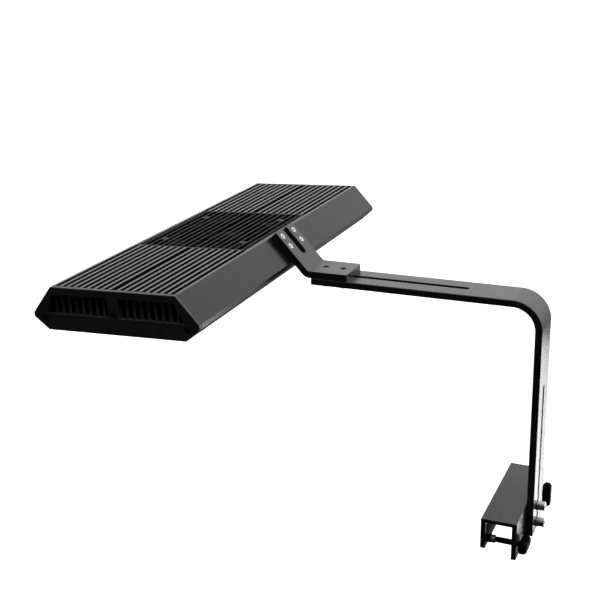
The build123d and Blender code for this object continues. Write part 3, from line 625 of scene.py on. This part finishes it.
def rubber_foot(end):
    """Soft foot with two round grooves in the face that presses on the glass."""
    low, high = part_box("thumb_pad_" + end)
    middle = (low + high) / 2
    thick = (high.x - low.x) / MM
    profile = [(3.4, 0.0), (3.75, -0.15), (3.95, -0.6), (3.98, -thick + 1.0), (3.8, -thick + 0.4)]
    profile += [(3.3, -thick + 0.05), (2.7, -thick), (2.5, -thick + 0.35), (2.2, -thick + 0.35)]
    profile += [(2.0, -thick), (1.3, -thick), (1.1, -thick + 0.35), (0.8, -thick + 0.35)]
    profile += [(0.6, -thick), (0.1, -thick)]
    place = axes((high.x, middle.y, middle.z), ROW_X, ROW_Z)
    foot = as_piece("rubber_foot_" + end, lathe(profile, 48, place), RUBBER)
    stand_in(foot, "thumb_foot_" + end, "soft_rubber", "thumb_pad_" + end)


for end in ("near", "far"):
    threaded_shaft(end)
    rubber_foot(end)


# ---------------------------------------------------------------- ribbed pad in the clamp
PAD_RIBS = 9
RIB_DEPTH = 0.45
STEPS_PER_RIB = 8


def ribbed_pad():
    """Strip of rubber with rounded ribs along its pressed face and softened ends."""
    low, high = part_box("glass_pad")
    tall = high.z - low.z
    face = []
    for i in range(PAD_RIBS * STEPS_PER_RIB + 1):
        share = i / (PAD_RIBS * STEPS_PER_RIB)
        crest = 0.5 + 0.5 * math.cos(math.tau * PAD_RIBS * share)
        rib = RIB_DEPTH * MM * crest**2
        face.append((high.x - rib, low.z + 0.3 * MM + share * (tall - 0.6 * MM)))
    outline = [(low.x, high.z - 0.2 * MM), (low.x, low.z + 0.2 * MM), (low.x + 0.1 * MM, low.z)]
    outline += [(high.x - 0.5 * MM, low.z)] + face
    outline += [(high.x - 0.5 * MM, high.z), (low.x + 0.1 * MM, high.z)]
    near_end = [(low.y, 0.8), (low.y + 0.15 * MM, 0.3), (low.y + 0.6 * MM, 0.0)]
    far_end = [(-y, shrink) for y, shrink in reversed(near_end)]
    middle = (low.z + high.z) / 2
    rings = []
    for y, shrink in near_end + far_end:
        limit = high.x - shrink * MM * 0.8
        narrower = 1 - shrink * MM / tall
        rings.append([Vector((min(x, limit), y, middle + (z - middle) * narrower)) for x, z in outline])
    stand_in(as_piece("ribbed_glass_pad", tube(rings), RUBBER, 50), "clamp", "soft_rubber", "glass_pad")


ribbed_pad()


# ---------------------------------------------------------------- gaskets
def pressed_gasket(end):
    """The end gasket with its rims rounded as rubber is when it's pressed."""
    node = "end_gasket_" + end
    gasket = bpy.data.objects.new("pressed_gasket_" + end, NODES[node].data.copy())
    scene.collection.objects.link(gasket)
    soften(gasket, 0.2, 3)
    stand_in(gasket, "lamp", "soft_rubber", node)


pressed_gasket("near")
pressed_gasket("far")

# ---------------------------------------------------------------- fan rotor with cambered blades
HUB_RADIUS = 17.0
HUB_HEIGHT = 9.6
HUB_WALL = 2.0
TIP_RADIUS = 42.8
BLADES = 9
BLADE_SWEEP = math.radians(14)
ROOT_PITCH = math.radians(40)
PITCH_DROP = math.radians(12)
ROOT_CHORD = 11.0
CHORD_GAIN = 3.0
TIP_CUT = 2.2
STATIONS = 9
ACROSS_BLADE = 9


def blade_ring(place, blade, share):
    """Closed section of one blade at a share of the way from its root to its tip."""
    radius = HUB_RADIUS - 0.6 + (TIP_RADIUS - HUB_RADIUS + 0.6) * share
    swing = math.tau * blade / BLADES + BLADE_SWEEP * share**1.4
    pitch = ROOT_PITCH - PITCH_DROP * share
    chord = ROOT_CHORD + CHORD_GAIN * share - (TIP_CUT if share == 1 else 0.0)
    outward = Vector((math.cos(swing), math.sin(swing), 0))
    forward = Vector((-math.sin(swing), math.cos(swing), 0))
    run = forward * math.cos(pitch) - ROW_Z * math.sin(pitch)
    lift = forward * math.sin(pitch) + ROW_Z * math.cos(pitch)
    ring = []
    for side in (1, -1):
        for i in range(ACROSS_BLADE):
            spot = side * ((i + 0.5) / ACROSS_BLADE - 0.5)
            swell = 1 - 4 * spot * spot
            thick = side * (0.18 + 0.32 * swell)
            point = outward * radius - ROW_Z * HUB_HEIGHT / 2
            point += run * chord * spot + lift * (0.9 * swell + thick)
            ring.append(place @ (point * MM))
    return ring


def cambered_rotor():
    """Hub cup, axle and blades of the fan."""
    corners = [vert.co for vert in NODES["fan_rotor"].data.vertices]
    low, high = spread(corners, LAMP_UP)
    centre = Vector(FAN_JOINT["pos_m"])
    place = axes(centre + LAMP_UP * (high - centre.dot(LAMP_UP)), LAMP_UP, ROW_Y)
    rim = HUB_RADIUS
    bore = HUB_RADIUS - HUB_WALL
    cup = [(0.1, -1.6), (bore - 0.2, -1.6), (bore, -1.8), (bore, -HUB_HEIGHT), (rim - 0.3, -HUB_HEIGHT)]
    cup += [(rim, -HUB_HEIGHT + 0.3), (rim, -1.3), (rim - 0.3, -0.6), (rim - 0.9, -0.15), (rim - 1.6, 0.0)]
    cup += [(13.2, 0.0), (12.9, -0.2), (12.6, -0.2), (12.3, 0.0), (0.1, 0.0)]
    foot = (low - high) / MM
    axle = [(0.1, foot), (1.2, foot), (1.45, foot + 0.3), (1.45, -1.5), (0.1, -1.5)]
    shells = [lathe(cup, 72, place), lathe(axle, 24, place)]
    for blade in range(BLADES):
        shells.append(tube([blade_ring(place, blade, i / (STATIONS - 1)) for i in range(STATIONS)]))
    stand_in(as_piece("cambered_rotor", together(shells), FAN, 50), "fan", "fan_plastic", "fan_rotor")


cambered_rotor()

# ---------------------------------------------------------------- light emitters
EMITTER_SIDE = 3.5
DOME = [(1.5, -1.0), (1.5, -0.75), (1.42, -0.52), (1.22, -0.3), (0.88, -0.13), (0.45, -0.03), (0.05, 0)]


def emitters():
    """A ceramic base and a phosphor dome for each emitter."""
    bases = []
    domes = []
    for island in separate_solids("led_emitters"):
        place = head_end(island, -LAMP_UP)
        bases.append(rounded_block(place, EMITTER_SIDE, EMITTER_SIDE, -1.7, -0.9, 0.12, 0.3))
        domes.append(lathe(DOME, 20, place))
    base = as_piece("emitter_bases", together(bases), CERAMIC)
    stand_in(base, "lamp", "white_board", "led_emitters")
    stand_in(as_piece("emitter_domes", together(domes), LENS), "lamp", "led_lens", "led_emitters")


emitters()


# ---------------------------------------------------------------- driver components
def can(place, radius, tall):
    """Capacitor can with a rolled groove near its foot and a dished top."""
    profile = [(radius - 0.4, -tall), (radius - 0.05, -tall + 0.3), (radius - 0.05, -tall + 0.8)]
    profile += [(radius - 0.3, -tall + 1.0), (radius - 0.05, -tall + 1.2), (radius - 0.05, -0.35)]
    profile += [(radius - 0.35, 0.0), (radius - 0.8, 0.0), (radius - 0.9, -0.12), (0.05, -0.12)]
    return lathe(profile, 40, place)


def driver_parts():
    """Blocks with a narrower upper half and cans, by turns."""
    shells = []
    for number, island in enumerate(separate_solids("driver_components")):
        place = head_end(island, LAMP_UP)
        spans = [spread(island, direction) for direction in (LAMP_ACROSS, ROW_Y, LAMP_UP)]
        wide, long, tall = [(high - low) / MM for low, high in spans]
        if number % 2:
            shells.append(can(place, min(wide, long) / 2, tall))
        else:
            shells.append(rounded_block(place, wide, long, -tall, -tall * 0.3, 0.2))
            shells.append(rounded_block(place, wide - 1.2, long - 1.2, -tall * 0.3 - 0.1, 0.0, 0.25))
    parts = as_piece("driver_coil_and_cans", together(shells), COMPONENT)
    stand_in(parts, "lamp", "component_black", "driver_components")


driver_parts()

# ---------------------------------------------------------------- grommet, cable and socket
CABLE_RADIUS = (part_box("power_cable")[1].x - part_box("power_cable")[0].x) / 2
CABLE_BEND = 10 * MM
CABLE_SIDES = 28
INLET_STEPS = 12
BEND_STEPS = 14
DROP_STEPS = 10
QUARTER = math.pi / 2


def rubber_grommet():
    """Flanged grommet that the cable passes through."""
    low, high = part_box("cable_grommet")
    inner = CABLE_RADIUS / MM - 0.02
    outer = (high.x - low.x) / 2 / MM
    length = (high.y - low.y) / MM
    profile = [(inner, 0.0), (inner + 0.3, 0.12), (outer - 1.4, 0.1), (outer - 1.2, -0.1)]
    profile += [(outer - 0.9, -0.1), (outer - 0.7, 0.0), (outer - 0.25, -0.12), (outer, -0.45)]
    profile += [(outer - 0.02, -1.15), (outer - 0.25, -1.4), (2.95, -1.42), (2.95, -length + 0.3)]
    profile += [(2.7, -length), (inner, -length)]
    rim = axes(((low.x + high.x) / 2, high.y, (low.z + high.z) / 2), ROW_Y, ROW_Z)
    grommet = as_piece("rubber_grommet", lathe(profile, 48, rim, hollow=True), RUBBER)
    stand_in(grommet, "lamp", "soft_rubber", "cable_grommet")


def cable_path(start_y, level, drop_y, foot):
    """(y, z, turn) along the cable: level out of the lamp, round the bend, then straight down."""
    bend_y = drop_y - CABLE_BEND
    bend_z = level - CABLE_BEND
    path = [(start_y + (bend_y - start_y) * i / INLET_STEPS, level, 0.0) for i in range(INLET_STEPS)]
    for i in range(BEND_STEPS + 1):
        turn = QUARTER * i / BEND_STEPS
        path.append((bend_y + CABLE_BEND * math.sin(turn), bend_z + CABLE_BEND * math.cos(turn), turn))
    for i in range(1, DROP_STEPS + 1):
        path.append((drop_y, bend_z + (foot - bend_z) * i / DROP_STEPS, QUARTER))
    return path


def round_cable():
    """Cable with a slightly uneven jacket."""
    grommet_low, grommet_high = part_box("cable_grommet")
    low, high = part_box("power_cable")
    middle = (grommet_low + grommet_high) / 2
    rings = []
    for y, z, turn in cable_path(low.y, middle.z, high.y - CABLE_RADIUS, low.z):
        ring = []
        for i in range(CABLE_SIDES):
            angle = math.tau * i / CABLE_SIDES
            swell = 1 + 0.012 * noise.noise(Vector((y, z, angle)) * 90) - 0.012
            reach = CABLE_RADIUS * swell
            outward = reach * math.sin(angle)
            side = Vector((reach * math.cos(angle), outward * math.sin(turn), outward * math.cos(turn)))
            ring.append(Vector((middle.x, y, z)) + side)
        rings.append(ring)
    stand_in(as_piece("round_cable", tube(rings), JACKET), "lamp", "cable_jacket", "power_cable")


SOCKET_GRIP = 5.2
SOCKET_BORE = 3.1
SOCKET_DEPTH = 10.0
RELIEF_RIBS = 5


def inline_socket():
    """Socket at the cable's end: ribbed strain relief, knurled grip, open mouth and centre pin."""
    low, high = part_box("power_plug")
    top = axes(((low.x + high.x) / 2, (low.y + high.y) / 2, high.z), -ROW_Z, ROW_Y)
    length = (high.z - low.z) / MM
    profile = [(2.2, 0.0), (2.9, 0.0), (3.2, 0.3)]
    for i in range(RELIEF_RIBS):
        start = 0.9 + 1.35 * i
        rib = 3.3 + 0.05 * i
        profile += [(rib, start), (rib, start + 0.7), (2.7, start + 0.8), (2.7, start + 1.2)]
    knurl = ribbed(SOCKET_GRIP, 0.28, 26)
    profile += [(3.6, 7.7), (3.7, 8.0), (4.6, 8.25), (5.05, 8.7), (SOCKET_GRIP, 9.3)]
    profile += [(SOCKET_GRIP, 11.0), (knurl, 11.4), (knurl, 19.6), (SOCKET_GRIP, 20.0)]
    profile += [(SOCKET_GRIP, length - 1.6), (5.0, length - 0.7), (4.5, length - 0.15), (4.1, length)]
    profile += [(3.3, length), (SOCKET_BORE, length - 0.25), (SOCKET_BORE, length - SOCKET_DEPTH + 0.1)]
    profile += [(2.9, length - SOCKET_DEPTH), (0.1, length - SOCKET_DEPTH)]
    socket = as_piece("inline_socket", lathe(profile, 104, top), KNOB)
    stand_in(socket, "lamp", "knob_plastic", "power_plug")
    root = length - SOCKET_DEPTH - 0.1
    pin = [(0.1, root), (0.95, root), (0.95, length - 2.6), (0.7, length - 2.2), (0.1, length - 2.1)]
    contact = as_piece("socket_contact", lathe(pin, 24, top), STEEL)
    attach(contact, "lamp")


rubber_grommet()
round_cable()
inline_socket()

# ---------------------------------------------------------------- softened edges of the CAD nodes
SOFT = {
    "clamp_channel": 0.3,
    "bracket": 0.3,
    "heat_sink_housing": 0.38,
    "end_cap_near": 0.2,
    "end_cap_far": 0.2,
    "fan_grille": 0.15,
    "fan_frame": 0.2,
    "thumb_knob_near": 0.6,
    "thumb_knob_far": 0.6,
    "thumb_collar_near": 0.2,
    "thumb_collar_far": 0.2,
    "driver_board": 0.1,
    "led_board": 0.1,
}
SOFT.update({name: 0.12 for name in NODES if "washer" in name})
for name, width in SOFT.items():
    soften(NODES[name], width)

# ---------------------------------------------------------------- floor
FLOOR_LEVEL = -0.30
FLOOR_REACH = 60.0


def pale_floor():
    """Plain white floor that glows a little and can be seen through from below."""
    g = Look("pale_floor")
    g.set(Base_Color=(0.85, 0.85, 0.85, 1), Roughness=0.9)
    g.set(Emission_Color=(1, 1, 1, 1), Emission_Strength=1.0)
    below = g.add("ShaderNodeNewGeometry").outputs["Backfacing"]
    either = g.add("ShaderNodeMixShader")
    g.feed(either.inputs[0], below)
    g.feed(either.inputs[1], g.skin.outputs[0])
    g.feed(either.inputs[2], g.add("ShaderNodeBsdfTransparent").outputs[0])
    g.feed(g.out.inputs["Surface"], either.outputs[0])
    return g.material


corners = [(x * FLOOR_REACH, y * FLOOR_REACH, FLOOR_LEVEL) for x, y in ((-1, -1), (1, -1), (1, 1), (-1, 1))]
mesh = bpy.data.meshes.new("floor")
mesh.from_pydata(corners, [], [(0, 1, 2, 3)])
mesh.materials.append(pale_floor())
floor = bpy.data.objects.new("floor", mesh)
scene.collection.objects.link(floor)
floor.visible_glossy = False
floor.visible_diffuse = False

# ---------------------------------------------------------------- world
# Reflections and light come from a broad bright wall behind the object, strongest a little above
# the horizon, and from almost nothing in front of it. The camera itself sees plain white. Each
# pair is an angle above the horizon in degrees and the wall's level there.
LEFT_WALL = (
    (-90, 0.1),
    (-22, 0.12),
    (-4, 0.5),
    (8, 0.95),
    (13, 1.05),
    (18, 1.4),
    (22, 1.0),
    (30, 0.35),
    (90, 0.9),
)
RIGHT_WALL = (
    (-90, 0.1),
    (-22, 0.12),
    (-4, 0.6),
    (8, 0.9),
    (13, 0.9),
    (20, 0.98),
    (28, 1.25),
    (36, 0.9),
    (90, 0.9),
)
FRONT_LEVEL = 0.06
BRIGHTEST = 2.0


def wall(g, rise, levels):
    """Brightness of the wall by height, as a share of the brightest level."""
    ramp = g.add("ShaderNodeValToRGB", Fac=rise)
    stops = ramp.color_ramp.elements
    while len(stops) < len(levels):
        stops.new(0.5)
    for stop, (angle, level) in zip(stops, levels):
        stop.position = (math.sin(math.radians(angle)) + 1) / 2
        stop.color = grey(level / BRIGHTEST)
    return ramp.outputs[0]


def studio():
    """World that lights the object with the two walls and shows the camera white."""
    world = bpy.data.worlds.new("studio")
    world.use_nodes = True
    g = Graph(world.node_tree)
    where = g.add("ShaderNodeTexCoord").outputs["Generated"]
    way = g.add("ShaderNodeSeparateXYZ", Vector=where).outputs
    rise = g.span(way["Z"], -1.0, 1.0)
    rightward = g.span(way["X"], -0.15, 0.2, shape="SMOOTHSTEP")
    walls = g.add("ShaderNodeMix", {"data_type": "FLOAT"}, Factor=rightward)
    g.feed(walls.inputs[2], wall(g, rise, LEFT_WALL))
    g.feed(walls.inputs[3], wall(g, rise, RIGHT_WALL))
    depth = g.math("MULTIPLY_ADD", way["Z"], 0.7, way["Y"])
    behind = g.span(depth, -0.1, 0.45, FRONT_LEVEL / BRIGHTEST, 1.0, "SMOOTHSTEP")
    glow = g.math("MULTIPLY", walls.outputs[0], behind)
    lit = g.add("ShaderNodeBackground", Color=glow, Strength=BRIGHTEST)
    seen = g.add("ShaderNodeBackground", Color=(1, 1, 1, 1))
    direct = g.add("ShaderNodeLightPath").outputs["Is Camera Ray"]
    mix = g.add("ShaderNodeMixShader", Fac=direct)
    g.feed(mix.inputs[1], lit.outputs[0])
    g.feed(mix.inputs[2], seen.outputs[0])
    g.add("ShaderNodeOutputWorld", Surface=mix.outputs[0])
    return world


scene.world = studio()


# ---------------------------------------------------------------- lights
def softbox(name, place, target, width, height, power):
    """A rectangular lamp that faces the target and isn't seen itself."""
    data = bpy.data.lights.new(name, "AREA")
    data.shape = "RECTANGLE"
    data.size = width
    data.size_y = height
    data.energy = power
    lamp = bpy.data.objects.new(name, data)
    scene.collection.objects.link(lamp)
    lamp.location = place
    lamp.rotation_mode = "QUATERNION"
    lamp.rotation_quaternion = (Vector(target) - Vector(place)).to_track_quat("-Z", "Y")
    lamp.visible_camera = False


# The first shines in the upright leg's outer face, the second in the line along the lamp's waist.
softbox("low_right", (0.205, 0.43, -0.15), (0.022, 0.0, 0.04), 0.16, 0.25, 0.72)
softbox("waist_line", (0.0, 0.46, 0.06), (-0.2, 0.46, 0.06), 0.6, 0.12, 0.08)

# ---------------------------------------------------------------- camera
YAW = math.radians(23.867)
PITCH = math.radians(18.928)
ROLL = math.radians(1.416)
CAMERA_PLACE = Vector((0.1922, -0.9138, 0.5105))


def view_camera():
    """Camera that looks from the near right, a little downwards."""
    data = bpy.data.cameras.new("camera")
    data.lens = 66.465
    data.sensor_width = 36.0
    data.clip_start = 0.01
    data.clip_end = 200.0
    camera = bpy.data.objects.new("camera", data)
    scene.collection.objects.link(camera)
    level = Vector((-math.sin(YAW), math.cos(YAW), 0.0))
    forward = level * math.cos(PITCH) - ROW_Z * math.sin(PITCH)
    right = Matrix.Rotation(ROLL, 3, forward) @ Vector((math.cos(YAW), math.sin(YAW), 0.0))
    turn = Matrix((right, right.cross(forward), -forward)).transposed().to_4x4()
    camera.matrix_world = Matrix.Translation(CAMERA_PLACE) @ turn
    return camera


scene.camera = view_camera()
